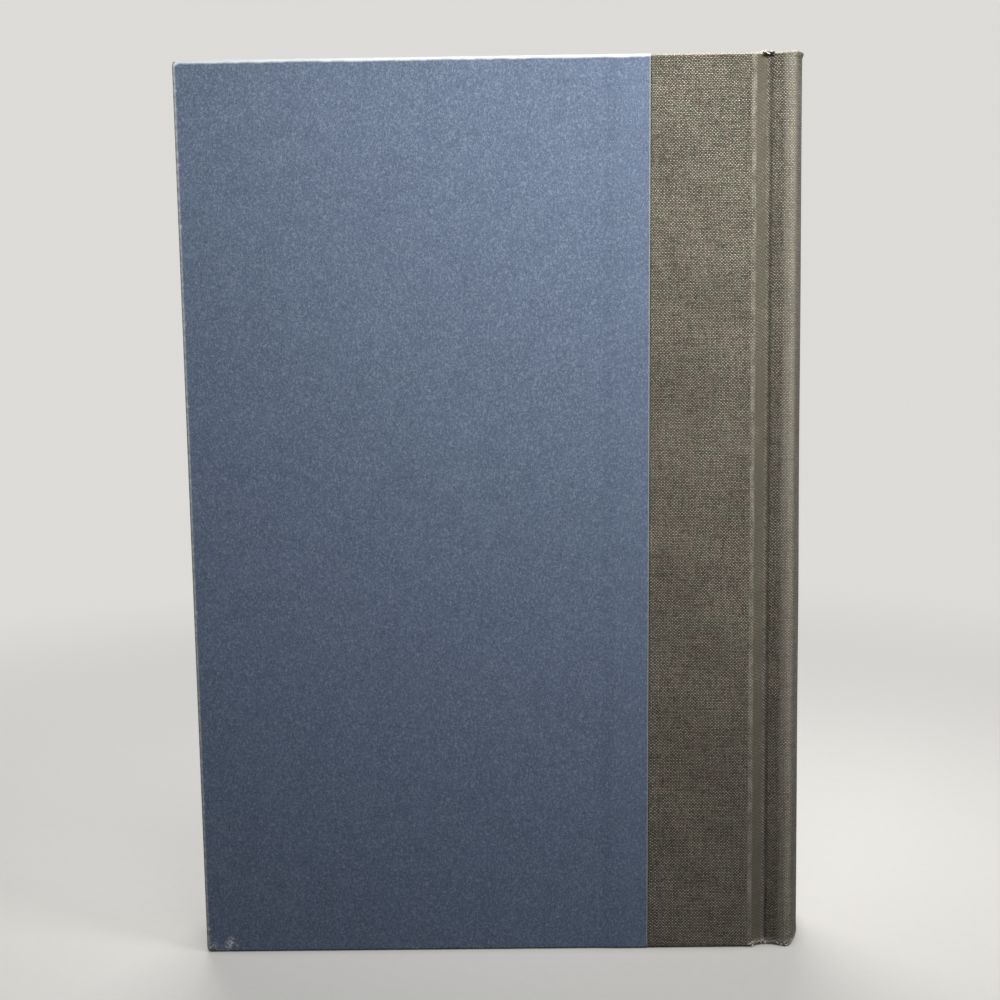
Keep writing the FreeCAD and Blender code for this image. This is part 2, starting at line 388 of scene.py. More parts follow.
class Nodes:
    """Lays out one node tree in short calls."""

    def __init__(self, tree):
        self.tree = tree

    def add(self, kind, **settings):
        node = self.tree.nodes.new("ShaderNode" + kind)
        for key, value in settings.items():
            setattr(node, key, value)
        return node

    def set(self, node, socket, value):
        """Links a socket, or gives it a constant."""
        target = node.inputs[socket]
        if isinstance(value, bpy.types.NodeSocket):
            self.tree.links.new(value, target)
        elif target.type == "RGBA" and len(value) == 3:
            target.default_value = (*value, 1)
        else:
            target.default_value = value

    def place(self):
        return self.add("TexCoord").outputs["Object"]

    def map(self, name):
        return self.add("UVMap", uv_map=name).outputs["UV"]

    def band(self, value, low, high, soft):
        """1 between two levels, with soft ends."""
        rise = self.range(value, low - soft, low)
        fall = self.range(value, high, high + soft, 1.0, 0.0)
        return self.math("MULTIPLY", rise, fall)

    def axes(self, vector):
        node = self.add("SeparateXYZ")
        self.set(node, 0, vector)
        return node.outputs

    def joined(self, x, y, z=0.0):
        node = self.add("CombineXYZ")
        for i, value in enumerate((x, y, z)):
            self.set(node, i, value)
        return node.outputs[0]

    def math(self, operation, *values):
        node = self.add("Math", operation=operation)
        for i, value in enumerate(values):
            self.set(node, i, value)
        return node.outputs[0]

    def chain(self, operation, values):
        """Several values taken together, two at a time from the first."""
        total = values[0]
        for value in values[1:]:
            total = self.math(operation, total, value)
        return total

    def product(self, *values):
        return self.chain("MULTIPLY", values)

    def highest(self, *values):
        return self.chain("MAXIMUM", values)

    def total(self, *values):
        return self.chain("ADD", values)

    def minus(self, value, taken):
        return self.math("SUBTRACT", value, taken)

    def times(self, vector, scale):
        node = self.add("VectorMath", operation="MULTIPLY")
        self.set(node, 0, vector)
        self.set(node, 1, scale)
        return node.outputs[0]

    def noise(self, vector, size, detail=2.0, distortion=0.0, roughness=0.5):
        """Noise whose blotches have a size in metres."""
        node = self.add("TexNoise")
        self.set(node, "Vector", vector)
        self.set(node, "Scale", 1 / size)
        self.set(node, "Detail", detail)
        self.set(node, "Distortion", distortion)
        self.set(node, "Roughness", roughness)
        return node.outputs["Fac"]

    def range(self, value, low, high, start=0.0, end=1.0, smooth=True):
        node = self.add("MapRange", interpolation_type="SMOOTHSTEP" if smooth else "LINEAR")
        for i, given in enumerate((value, low, high, start, end)):
            self.set(node, i, given)
        return node.outputs[0]

    def mix(self, share, first, second, blend="MIX"):
        node = self.add("Mix", data_type="RGBA", blend_type=blend)
        self.set(node, 0, share)
        self.set(node, 6, first)
        self.set(node, 7, second)
        return node.outputs[2]

    def far_from(self, vector, point):
        node = self.add("VectorMath", operation="DISTANCE")
        self.set(node, 0, vector)
        self.set(node, 1, point)
        return node.outputs["Value"]

    def cloudy(self, pattern, first, second):
        """One colour where a noise pattern is low, and another where it is high."""
        return self.mix(self.range(pattern, 0.3, 0.7), first, second)


class Shader(Nodes):
    """Lays out one material."""

    def __init__(self, name, roughness, specular):
        self.material = bpy.data.materials.new(name)
        self.material.use_nodes = True
        super().__init__(self.material.node_tree)
        self.surface = self.tree.nodes["Principled BSDF"]
        self.set(self.surface, "Roughness", roughness)
        self.set(self.surface, "Specular IOR Level", specular)

    def finish(self, base, height, depth, strength):
        """Sets the surface's colour, and its relief from a height between 0 and 1."""
        self.set(self.surface, "Base Color", base)
        node = self.add("Bump")
        self.set(node, "Strength", strength)
        self.set(node, "Distance", depth)
        self.set(node, "Height", height)
        self.set(self.surface, "Normal", node.outputs[0])
        return self.material


def cover_paper_material(settings):
    """Matt slate blue paper with pale fibres, rubbed white along its edges."""
    s = Shader("cover_paper", 0.62, 0.28)
    place = s.place()
    x, _, z = s.axes(place)
    tint = settings.tint
    mottle = s.noise(place, 7 * MM, 4, 0.4, 0.6)
    grain = s.noise(s.times(place, (1, 1, 0.75)), 0.62 * MM, 2, 0.8, 0.6)
    fine = s.noise(s.times(place, (1, 1, 0.8)), 0.26 * MM, 1, 0.6, 0.5)
    swirl = s.noise(s.times(place, (1, 1, 0.7)), 1.5 * MM, 2, 2.4, 0.5)
    squiggle = s.range(s.math("ABSOLUTE", s.minus(swirl, 0.5)), 0.0, 0.02, 1.0, 0.0)
    broken = s.range(s.noise(place, 2.2 * MM, 2), 0.45, 0.58)
    fibres = s.product(squiggle, broken)
    base = s.mix(s.range(mottle, 0.32, 0.68), shade(tint, 0.97), shade(tint, 1.07))
    base = s.mix(s.range(grain, 0.5, 0.72, 0.0, 0.55), base, settings.fibre)
    base = s.mix(s.range(grain, 0.3, 0.46, 0.5, 0.0), base, shade(tint, 0.55))
    base = s.mix(s.range(fine, 0.55, 0.72, 0.0, 0.6), base, settings.fibre)
    base = s.mix(s.range(fine, 0.28, 0.42, 0.55, 0.0), base, shade(tint, 0.5))
    base = s.mix(s.product(fibres, 0.7), base, settings.fibre)
    # Painted highlight, with some wear, along the rounded rim at the head
    base = s.mix(head_rim_wear_and_highlight(s, x, z, place), base, settings.rubbed_and_highlit)
    base = s.mix(rubbed_fore_edge(s, settings, x, z, place), base, settings.core)
    spots = s.highest(flecks(s, place), near_spots(s, place, SPECKS, 0.5, 1.3, 0.85))
    base = s.mix(s.highest(spots, scuffs(s, place)), base, settings.rubbed_and_highlit)
    height = s.total(s.product(grain, 0.55), s.product(fine, 0.35), s.product(fibres, 0.3))
    return s.finish(base, height, 0.06 * MM, 0.8)


def head_rim_wear_and_highlight(s, x, z, place):
    """1 on the rounded rim at the head, where the paper is rubbed white, and round its outer corner."""
    below = s.minus(HEAD, z)
    wander = s.range(s.noise(place, 2.5 * MM, 2), 0.3, 0.7, -0.12 * MM, 0.12 * MM)
    to_fore = s.minus(x, PAPER_LOW.x)
    corner = s.range(to_fore, 0.0, 2.2 * MM, 1.1 * MM, 0.0)
    reach = s.minus(s.total(below, wander), corner)
    return s.range(reach, 0.4 * MM, 1.15 * MM, 0.95, 0.0)


def rubbed_fore_edge(s, settings, x, z, place):
    """1 where the paper is worn grey: the fore-edge, its lower corner, the foot and the cut edge."""
    to_tail = s.minus(z, TAIL)
    to_fore = s.minus(x, PAPER_LOW.x)
    chips = s.noise(place, 1.6 * MM, 3)
    fine = s.noise(place, 0.45 * MM, 2)
    fore = s.range(to_fore, 0.5 * MM, 1.0 * MM, 0.95, 0.0)
    fore = s.product(fore, s.range(chips, 0.35, 0.65, 0.5, 1.0))
    nicks = s.product(s.range(to_fore, 0.6 * MM, 1.5 * MM, 1.0, 0.0), s.range(chips, 0.6, 0.68, 0.0, 0.7))
    foot = s.product(s.range(to_tail, 0.3 * MM, 1.3 * MM, 1.0, 0.0), s.range(fine, 0.56, 0.7, 0.0, 0.8))
    corner = s.range(s.total(to_fore, to_tail), 2 * MM, 8 * MM, 1.0, 0.0)
    corner = s.product(corner, s.range(fine, 0.5, 0.62, 0.0, 0.8))
    leaning = s.math("MULTIPLY_ADD", s.minus(MIDDLE_HEIGHT, z), settings.lean / (HEAD - TAIL), x)
    cut_edge = s.total(leaning, s.range(fine, 0.35, 0.65, -0.07 * MM, 0.07 * MM))
    cut_line = s.range(cut_edge, PAPER_HIGH.x - 0.36 * MM, PAPER_HIGH.x - 0.16 * MM, 0.0, 0.26)
    worn = s.highest(s.highest(fore, nicks), s.highest(foot, corner))
    return s.highest(worn, cut_line)


def near_spots(s, place, spots, inner, outer, most):
    """High near any of some spots, given by their distance from the fore-edge and the ground."""
    found = 0.0
    for across, up, radius in spots:
        middle = Vector((PAPER_LOW.x + across * MM, PAPER_LOW.y, up * MM))
        far = s.far_from(place, middle)
        found = s.highest(found, s.range(far, radius * inner * MM, radius * outer * MM, most, 0.0))
    return found


def scuffs(s, place):
    """Pale scuffed tufts near the cover's lower outer corner and along the fore-edge above it."""
    fine = s.noise(place, 0.5 * MM, 4)
    ragged = s.range(s.noise(place, 1.7 * MM, 2), 0.4, 0.58)
    found = near_spots(s, place, SCUFFS, 0.3, 1.0, 1.0)
    return s.product(found, ragged, s.range(fine, 0.42, 0.6, 0.0, 0.85))


def flecks(s, place):
    """Specks of pale fibre on the paper, a few centimetres apart."""
    node = s.add("TexVoronoi", feature="F1")
    s.set(node, "Vector", s.times(place, (1, 0.2, 1)))
    s.set(node, "Scale", 1 / (17 * MM))
    near = s.range(node.outputs["Distance"], 0.008, 0.016, 0.7, 0.0)
    chosen = s.math("GREATER_THAN", s.axes(node.outputs["Color"])[0], 0.7)
    return s.product(near, chosen)


def paper_core_material(settings):
    """The paper's pale inside and back."""
    s = Shader("paper_core", 0.8, 0.2)
    grain = s.noise(s.place(), 0.4 * MM, 3)
    base = s.cloudy(grain, shade(settings.core, 0.85), settings.core)
    return s.finish(base, grain, 0.03 * MM, 0.4)


def cloth_material(settings):
    """Plain woven cloth in two tones, pressed smooth in the joint, dirty in the groove, worn at its ends."""
    s = Shader("book_cloth", 0.85, 0.15)
    s.set(s.surface, "Sheen Weight", 0.05)
    s.set(s.surface, "Sheen Roughness", 0.4)
    across, along, _ = s.axes(s.map("cloth"))
    x, z, _ = s.axes(s.map("rest"))
    height, base = woven(s, settings, across, along)
    patches = s.noise(s.joined(across, s.product(along, 0.7)), 4.5 * MM, 3, 0.5)
    tinted = s.mix(s.range(patches, 0.35, 0.65), (0.96, 1.02, 0.96), (1.03, 0.99, 0.98))
    base = s.mix(1.0, base, tinted, "MULTIPLY")
    cloud = s.noise(s.joined(across, along, 0.3), 14 * MM, 3)
    base = s.mix(s.range(cloud, 0.3, 0.7, 0.0, 0.22), base, settings.gap)
    # Flattened weave in the joint, darkened partly by painted shade
    pressed_and_shaded = s.band(x, BOARD_HIGH.x + 0.4 * MM, HINGE.x - 1.6 * MM, 0.9 * MM)
    flat = s.product(pressed_and_shaded, s.range(cloud, 0.35, 0.6, 0.6, 0.85))
    base = s.mix(flat, base, settings.pressed_and_shaded)
    height = s.product(height, s.minus(1.0, s.product(flat, 0.75)))
    # Paler crest of the spine: wear with a painted highlight
    base = s.mix(crest_wear_and_highlight(s, x, cloud), base, settings.worn)
    # Painted shade in the groove, beside the paper's edge and under the fold at the head
    base = s.mix(groove_painted_shade(s, x, z), base, settings.gap)
    # Worn ends and frayed foot, with painted highlights on the head rim and the hinge edge
    base = s.mix(cloth_wear_and_highlights(s, x, z, across, along, cloud), base, settings.worn)
    return s.finish(base, height, 0.12 * MM, 0.9)


def woven(s, settings, across, along):
    """The weave's height and colour, thread by thread, with thicker and paler threads here and there."""
    sway = s.noise(s.joined(across, along), 7 * MM, 2)
    sway_along = s.noise(s.joined(along, across, 0.1), 6 * MM, 2)
    column = s.total(s.math("DIVIDE", across, settings.thread_pitch), s.product(sway, 1.6))
    row = s.total(s.math("DIVIDE", along, settings.thread_pitch), s.product(sway_along, 1.6))
    height, is_weft = plain_weave(s, column, row)
    slub_row = s.noise(s.joined(s.math("DIVIDE", column, 22), row), 1.0, 2)
    slub_column = s.noise(s.joined(column, s.math("DIVIDE", row, 22), 5.0), 1.0, 2)
    dot = s.noise(s.joined(column, row, 9.0), 0.85, 1)
    tuft = s.noise(s.joined(column, row, 17.0), 2.6, 2)
    # Pale weft, partly a painted highlight where the threads that run across catch light from above
    weft = s.cloudy(slub_row, shade(settings.weft, 0.55), shade(settings.weft, 1.3))
    # Painted glints: bright spots on the weft
    weft = s.mix(s.range(dot, 0.42, 0.68, 0.0, 0.75), weft, settings.worn)
    weft = s.mix(s.range(dot, 0.3, 0.45, 0.7, 0.0), weft, settings.warp)
    warp = s.cloudy(slub_column, shade(settings.warp, 0.55), shade(settings.warp, 1.5))
    base = s.mix(is_weft, warp, weft)
    base = s.mix(s.range(tuft, 0.3, 0.5, 0.25, 0.0), base, settings.gap)
    return height, s.mix(s.range(height, 0.1, 0.78, 1.0, 0.0), base, settings.gap)


def crest_wear_and_highlight(s, x, cloud):
    """1 where the spine's raised edge is rubbed paler, unevenly."""
    crest = s.band(x, HINGE.x + 4.2 * MM, SPINE_HIGH.x - 3.4 * MM, 1.4 * MM)
    return s.product(crest, s.range(cloud, 0.3, 0.7, 0.1, 0.22))


def groove_painted_shade(s, x, z):
    """Dark dust in the bottom of the groove, a dark line beside the paper's edge and a dark head pocket."""
    paper = bpy.context.scene.book_paper
    # Painted shade along the crease
    crease = s.range(s.math("ABSOLUTE", s.minus(x, HINGE.x + 0.1 * MM)), 0.1 * MM, 0.8 * MM, 0.55, 0.0)
    # Faint painted shade at the foot of the far slope
    rise = s.range(x, HINGE.x, HINGE.x + 2.4 * MM, 0.05, 0.0)
    rise = s.product(rise, s.math("GREATER_THAN", x, HINGE.x))
    leaning = s.math("MULTIPLY_ADD", s.minus(MIDDLE_HEIGHT, z), paper.lean / (HEAD - TAIL), x)
    # Painted shadow, with a glue line, on the cloth beside the paper's edge
    beside = s.range(leaning, PAPER_HIGH.x + 0.15 * MM, PAPER_HIGH.x + 0.55 * MM, 0.55, 0.0)
    at_head = s.range(s.minus(HEAD, z), 0.9 * MM, 1.5 * MM, 1.0, 0.0)
    # Painted shade in the hollow under the fold at the head
    pocket = s.product(head_pocket(s, x), at_head, 0.95)
    return s.highest(crease, rise, pocket, beside)


def head_pocket(s, x):
    """1 across the hollow that the groove leaves under the cloth's fold at the head."""
    return s.band(x, HINGE.x - 2.1 * MM, HINGE.x + 0.5 * MM, 0.6 * MM)


def cloth_wear_and_highlights(s, x, z, across, along, cloud):
    """Rubbed pale: the folded ends, the hinge edge in places and the spine's frayed foot."""
    fine = s.noise(s.joined(across, along), 0.45 * MM, 2)
    on_spine = s.range(x, BOARD_HIGH.x - 1 * MM, BOARD_HIGH.x + 1 * MM)
    foot = s.product(s.range(z, 0.9 * MM, 2.6 * MM, 1.0, 0.0), on_spine)
    foot = s.product(foot, s.range(fine, 0.45, 0.6))
    raised = s.range(x, HINGE.x, BAND_HIGH.x, 0.0, 0.42 * MM)
    # Rim at the head: wear with a painted highlight from light above
    rim = s.range(s.minus(z, raised), HEAD - 0.7 * MM, HEAD - 0.3 * MM, 0.0, 0.85)
    rim = s.product(rim, s.range(fine, 0.3, 0.6, 0.6, 1.0))
    rim = s.product(rim, s.minus(1.0, head_pocket(s, x)))
    # Painted highlight along the roll over the hinge edge, broken up unevenly
    hinge = s.band(x, BOARD_HIGH.x - 0.9 * MM, BOARD_HIGH.x - 0.3 * MM, 0.55 * MM)
    broken = s.range(s.noise(s.joined(across, s.product(along, 0.5)), 2.4 * MM, 3), 0.4, 0.6, 0.3, 1.0)
    hinge = s.product(hinge, 0.26, s.product(broken, s.range(cloud, 0.35, 0.6, 0.5, 1.0)))
    return s.highest(rim, hinge, s.product(foot, 0.7))


def plain_weave(s, column, row):
    """The weave's height, from 0 to about 1, and 1 where a thread that runs across is on top."""
    wave_across = s.math("SINE", s.product(column, math.pi))
    wave_along = s.math("SINE", s.product(row, math.pi))
    round_warp = s.math("ABSOLUTE", wave_across)
    round_weft = s.math("ABSOLUTE", wave_along)
    lift_warp = s.product(s.math("SIGN", wave_across), wave_along)
    lift_weft = s.product(s.math("SIGN", wave_along), wave_across)
    warp = s.product(round_warp, s.math("MULTIPLY_ADD", lift_warp, 0.5, 0.5))
    weft = s.product(round_weft, s.math("MULTIPLY_ADD", lift_weft, -0.5, 0.5))
    is_weft = s.range(s.minus(weft, warp), -0.06, 0.06)
    return s.highest(warp, weft), is_weft


def fibre_material(settings):
    """Pale frayed thread."""
    s = Shader("frayed_fibre", 0.85, 0.1)
    streak = s.noise(s.place(), 0.2 * MM, 2)
    pale = tuple(min(c * 1.3, 0.9) for c in settings.worn)
    base = s.mix(s.range(streak, 0.35, 0.65), settings.worn, pale)
    return s.finish(base, streak, 0.02 * MM, 0.4)


def cloth_back_material(settings):
    """The cloth's paper-lined back, which shows at its cut edges."""
    s = Shader("cloth_back", 0.85, 0.2)
    fuzz = s.noise(s.place(), 0.3 * MM, 3)
    base = s.cloudy(fuzz, settings.warp, settings.worn)
    return s.finish(base, fuzz, 0.05 * MM, 0.5)


def plain_paper_material(name, tint, size):
    """Smooth uncoated paper with a faint cloudy texture."""
    s = Shader(name, 0.72, 0.25)
    place = s.place()
    cloud = s.noise(place, size, 4)
    grain = s.noise(place, 0.35 * MM, 2)
    base = s.cloudy(cloud, shade(tint, 0.93), tint)
    return s.finish(base, grain, 0.02 * MM, 0.4)


def page_edge_material(settings):
    """The edges of some hundreds of leaves, as fine lines across the book's thickness."""
    s = Shader("page_edges", 0.75, 0.25)
    x, y, z = s.axes(s.place())
    stretched = s.joined(s.product(x, 0.02), y, s.product(z, 0.02))
    leaves = s.noise(stretched, 0.16 * MM, 3, 0.0, 0.7)
    sections = s.noise(stretched, 1.5 * MM, 2)
    base = s.mix(s.range(leaves, 0.3, 0.68), shade(settings.page, 0.62), settings.page)
    base = s.mix(s.range(sections, 0.35, 0.65, 0.0, 0.3), base, shade(settings.page, 0.8))
    return s.finish(base, leaves, 0.08 * MM, 0.7)


def card_material(name, tint):
    """Grey board or card with specks of recycled fibre."""
    s = Shader(name, 0.85, 0.2)
    place = s.place()
    fibres = s.noise(place, 0.6 * MM, 4, 1.0)
    base = s.cloudy(fibres, shade(tint, 0.8), tint)
    return s.finish(base, fibres, 0.05 * MM, 0.5)


def gauze_material():
    """Open starched gauze in two crossing sets of threads."""
    s = Shader("mull", 0.85, 0.2)
    x, y, z = s.axes(s.place())
    pitch = 0.9 * MM
    up = s.math("ABSOLUTE", s.math("SINE", s.product(s.total(x, y), math.pi / pitch)))
    over = s.math("ABSOLUTE", s.math("SINE", s.product(z, math.pi / pitch)))
    threads = s.highest(up, over)
    base = s.mix(s.range(threads, 0.75, 0.95), (0.38, 0.34, 0.26), (0.66, 0.62, 0.52))
    return s.finish(base, threads, 0.1 * MM, 0.6)


def band_material(settings):
    """Cotton wound in turn in a light and a dark thread."""
    s = Shader("band", 0.6, 0.35)
    s.set(s.surface, "Sheen Weight", 0.2)
    round_back, up, _ = s.axes(s.map("wound"))
    turns = s.math("DIVIDE", round_back, 4 * settings.band_stitch)
    dark = s.math("GREATER_THAN", s.math("FRACT", turns), 0.5)
    strand = s.noise(s.joined(round_back, s.product(up, 0.1)), 0.12 * MM, 2)
    base = s.mix(dark, settings.band_light, settings.band_dark)
    base = s.mix(s.range(strand, 0.35, 0.65, 0.3, 0.0), base, (0.2, 0.18, 0.15))
    return s.finish(base, strand, 0.04 * MM, 0.6)


def wrapped_paper(settings):
    """The cover paper's outer skin on the back board: three edges wrapped, turned in behind."""
    low = Vector((PAPER_LOW.x, BOARD_LOW.y - settings.thickness, TAIL))
    high = Vector((PAPER_HIGH.x + settings.lean, BOARD_HIGH.y + settings.thickness, HEAD))
    bm = bmesh.new()
    bmesh.ops.create_cube(bm, size=1)
    bmesh.ops.scale(bm, vec=high - low, verts=bm.verts)
    bmesh.ops.translate(bm, vec=(low + high) / 2, verts=bm.verts)
    bmesh.ops.bevel(
        bm, geom=bm.edges[:], offset=settings.rounding, segments=ROUNDING_SEGMENTS,
        profile=0.5, affect="EDGES", material=-1
    )
    edge = Vector((PAPER_HIGH.x, 0, MIDDLE_HEIGHT))
    across = Vector((1, 0, -settings.lean / (HEAD - TAIL)))
    cut(bm, edge, across, remove=True)
    cut_paper_grid(bm, settings)
    open_between_turn_ins(bm, settings, high)
    lift_over_cloth(bm, settings)
    blunt_corners(bm, settings)
    return bm


def cut_paper_grid(bm, settings):
    """Cuts close to each rounding, a plain grid over the faces, and fine strips at the ridge."""
    rounded = settings.rounding + ROUNDING_GAP
    across = [PAPER_LOW.x + rounded, PAPER_LOW.x + settings.corner]
    across += between(PAPER_LOW.x + GRID_FROM_FORE, PAPER_HIGH.x - GRID_FROM_CLOTH, GRID_ACROSS)
    for x in across:
        cut(bm, (x, 0, 0), (1, 0, 0))
    up = [TAIL + rounded, *between(TAIL + GRID_FROM_ENDS, HEAD - GRID_FROM_ENDS, GRID_UP)]
    up += [HEAD - rounded, TAIL + settings.corner, HEAD - settings.corner]
    for z in up:
        cut(bm, (0, 0, z), (0, 0, 1))
    ridge_lean = (settings.ridge_tail - settings.ridge_head + settings.lean) / (HEAD - TAIL)
    ridge = PAPER_HIGH.x - (settings.ridge_head + settings.ridge_tail) / 2
    for offset in between(-settings.ridge_width, settings.ridge_width, RIDGE_CUTS):
        cut(bm, (ridge + offset, 0, MIDDLE_HEIGHT), (1, 0, -ridge_lean))


def open_between_turn_ins(bm, settings, high):
    """Takes away the middle of the inner face, so that only the turn-ins are left there."""
    right = PAPER_LOW.x + settings.turn_in
    cut(bm, (right, 0, 0), (1, 0, 0))
    cut(bm, (0, 0, TAIL + settings.turn_in), (0, 0, 1))
    cut(bm, (0, 0, HEAD - settings.turn_in), (0, 0, 1))
    middle = []
    for face in bm.faces:
        centre = face.calc_center_median()
        inner = abs(centre.y - high.y) < 0.05 * MM
        if inner and centre.x > right and TAIL + settings.turn_in < centre.z < HEAD - settings.turn_in:
            middle.append(face)
    bmesh.ops.delete(bm, geom=middle, context="FACES")


def blunt_corners(bm, settings):
    """Rounds the two outer corners of the cover as worn corners are."""
    radius = settings.corner
    for vertex in bm.verts:
        for middle in (TAIL + radius, HEAD - radius):
            x, z = vertex.co.x - PAPER_LOW.x - radius, vertex.co.z - middle
            if x < 0 and (z < 0) == (middle < MIDDLE_HEIGHT):
                shrink = max(abs(x), abs(z)) / max(math.hypot(x, z), 1e-9)
                vertex.co.x = PAPER_LOW.x + radius + x * shrink
                vertex.co.z = middle + z * shrink


def ridge_at(height, settings):
    """Where along X the paper climbs on to the cloth's hidden edge, at a height."""
    share = (height - TAIL) / (HEAD - TAIL)
    reach = settings.ridge_tail + (settings.ridge_head - settings.ridge_tail) * share
    wander = 0.3 * MM * noise.noise(Vector((height / (11 * MM), 0, 0)))
    return PAPER_HIGH.x + settings.lean * (share - 0.5) - reach + wander


def lift_over_cloth(bm, settings):
    """Raises the paper where it lies on the cloth's edge, on the outer face and behind."""
    outer = BOARD_LOW.y - settings.thickness
    inner = BOARD_HIGH.y + settings.thickness
    outer_step = BOARD_LOW.y - CLOTH_LOW.y
    inner_step = CLOTH_HIGH.y - inner
    for vertex in bm.verts:
        x, y, z = vertex.co
        ridge = ridge_at(z, settings)
        climbed = remapped(x, ridge - settings.ridge_width / 2, ridge + settings.ridge_width / 2)
        is_outer = remapped(-y, -outer - settings.rounding, -outer)
        is_inner = remapped(y, inner - settings.rounding, inner)
        vertex.co.y += climbed * (is_inner * inner_step - is_outer * outer_step)


def build_paper(context, side):
    """One cover's paper, on its body and in place of the plain solid."""
    settings = context.scene.book_paper
    bm = wrapped_paper(settings)
    on_side(bm, side, (BOARD_LOW + BOARD_HIGH) / 2)
    piece = finished(bm, side + "_paper", [cover_paper_material(settings), paper_core_material(settings)])
    thicken(piece, settings.thickness * PAPER_WALL, 1)
    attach(piece, side + "_cover")
    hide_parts(side + "_cover_paper")


def walked(start):
    """The vertices of an open wire in order from one end."""
    order = [start]
    edge = None
    while True:
        onward = [e for e in order[-1].link_edges if e is not edge]
        if not onward:
            return order
        edge = onward[0]
        order.append(edge.other_vert(order[-1]))


def vertex_at(bm, place):
    return min(bm.verts, key=lambda vertex: (vertex.co - place).length)


def rounded_corner(bm, place, radius):
    """Rounds the corner of a wire at a place to a radius."""
    corner = vertex_at(bm, place)
    first, second = (edge.other_vert(corner).co - corner.co for edge in corner.link_edges)
    reach = radius / math.tan(first.angle(second) / 2)
    bmesh.ops.bevel(
        bm, geom=[corner], offset=reach, segments=ROLL_SEGMENTS, profile=0.5, affect="VERTICES", material=-1
    )


def cloth_line(bm, settings):
    """The cloth's outer line on the back half, from under the paper to the middle of the spine."""
    face = CLOTH_LOW.y
    inner = CLOTH_HIGH.y
    crease = Vector((HINGE.x, inner - 2 * settings.thickness, 0))
    centre = Vector((SPINE_HIGH.x - settings.spine_curve, 0, 0))
    flat = math.sqrt(settings.spine_curve**2 - settings.spine_reach**2)
    round_start = centre + Vector((flat, -settings.spine_reach, 0))
    rise = -face - settings.spine_reach
    shoulder = round_start + Vector((-rise * settings.spine_reach / flat, -rise, 0))
    places = [
        Vector((CLOTH_LOW.x, face, 0)),
        Vector((PAPER_HIGH.x - PAPER_STEP, face, 0)),
        Vector((PAPER_HIGH.x + PAPER_STEP, face, 0)),
        Vector((BOARD_HIGH.x, face, 0)),
        crease,
        shoulder,
        round_start,
    ]
    line = [bm.verts.new(place) for place in places]
    edges = [bm.edges.new(pair) for pair in zip(line, line[1:])]
    bmesh.ops.subdivide_edges(bm, edges=edges[2:3], cuts=FACE_CUTS)
    rolls = (settings.hinge_roll, settings.crease_roll, settings.shoulder_roll)
    for place, radius in zip(places[3:6], rolls):
        rounded_corner(bm, place, radius)
    angle = math.asin(settings.spine_reach / settings.spine_curve)
    end = vertex_at(bm, round_start)
    bmesh.ops.spin(bm, geom=[end], cent=centre, axis=(0, 0, 1), angle=angle, steps=SPINE_STEPS)
    past_board = [edge for edge in bm.edges if min(v.co.x for v in edge.verts) > BOARD_HIGH.x - 1 * MM]
    slopes = [edge for edge in past_board if edge.calc_length() > LONG_EDGE]
    bmesh.ops.subdivide_edges(bm, edges=slopes, cuts=LONG_EDGE_CUTS)
    return walked(vertex_at(bm, places[0]))


def fold_depth(place, settings):
    """How thick the folded edge is at a place on the cloth: over the board, the joint or the strip."""
    doubled = 2 * settings.thickness
    if place.x < PAPER_HIGH.x:
        return CLOTH_HIGH.y - place.y - PAPER_STEP
    if place.x <= HINGE.x:
        return max(CLOTH_HIGH.y - place.y, doubled)
    over_strip = remapped(place.y, STRIP_LOW.y - 0.6 * MM, STRIP_LOW.y + 0.6 * MM)
    return doubled + settings.strip_thickness * over_strip


def line_layers(bm):
    """What each vertex of the cloth keeps: its place on the line, its way inward, its fold and its map."""
    vectors, numbers = bm.verts.layers.float_vector, bm.verts.layers.float
    vector_layers = [vectors.new(name) for name in ("base", "inward")]
    number_layers = [numbers.new(name) for name in ("fold", "across", "along")]
    return vector_layers + number_layers


def mark_line(line, layers, settings):
    """Keeps on each vertex of the line its place, its way inward, its fold and how far along it lies."""
    base, inward, fold, across, along = layers
    gone = 0.0
    for i, vertex in enumerate(line):
        before, after = line[max(i - 1, 0)].co, line[min(i + 1, len(line) - 1)].co
        direction = (after - before).normalized()
        gone += (vertex.co - before).length
        vertex[base] = vertex.co
        turned = remapped(vertex.co.x, HINGE.x - 0.5 * MM, HINGE.x + 4 * MM)
        across_line = Vector((-direction.y, direction.x, 0))
        vertex[inward] = Vector((0, 1, 0)).lerp(across_line, turned).normalized()
        vertex[fold] = fold_depth(vertex.co, settings)
        vertex[across] = gone
        vertex[along] = 0.0


def head_level(place):
    """The height of the cloth's upper edge: under the paper's edge, and highest on the spine's shoulder."""
    if place.x < PAPER_HIGH.x:
        return HEAD - PAPER_STEP
    over_spine = remapped(place.x, HINGE.x - 2 * MM, HINGE.x + 1 * MM)
    shoulder = bump_at(place.x, BAND_HIGH.x, SHOULDER_WIDTH)
    return HEAD + over_spine * SPINE_RISE + shoulder * SHOULDER_RISE


def tail_level(place):
    """The height of the cloth's lower edge, which the board carries and the spine keeps off the ground."""
    if place.x < PAPER_HIGH.x:
        return TAIL + PAPER_STEP
    over_spine = remapped(place.x, BOARD_HIGH.x + 0.4 * MM, HINGE.x - 1.2 * MM)
    hang = bump_at(place.x, BAND_HIGH.x + 1 * MM, HANG_WIDTH) * SPINE_HANG
    waver = TAIL_WAVER * noise.noise(place * 700)
    return TAIL + SPINE_RISE + over_spine * (SPINE_LOW.z - hang + waver)


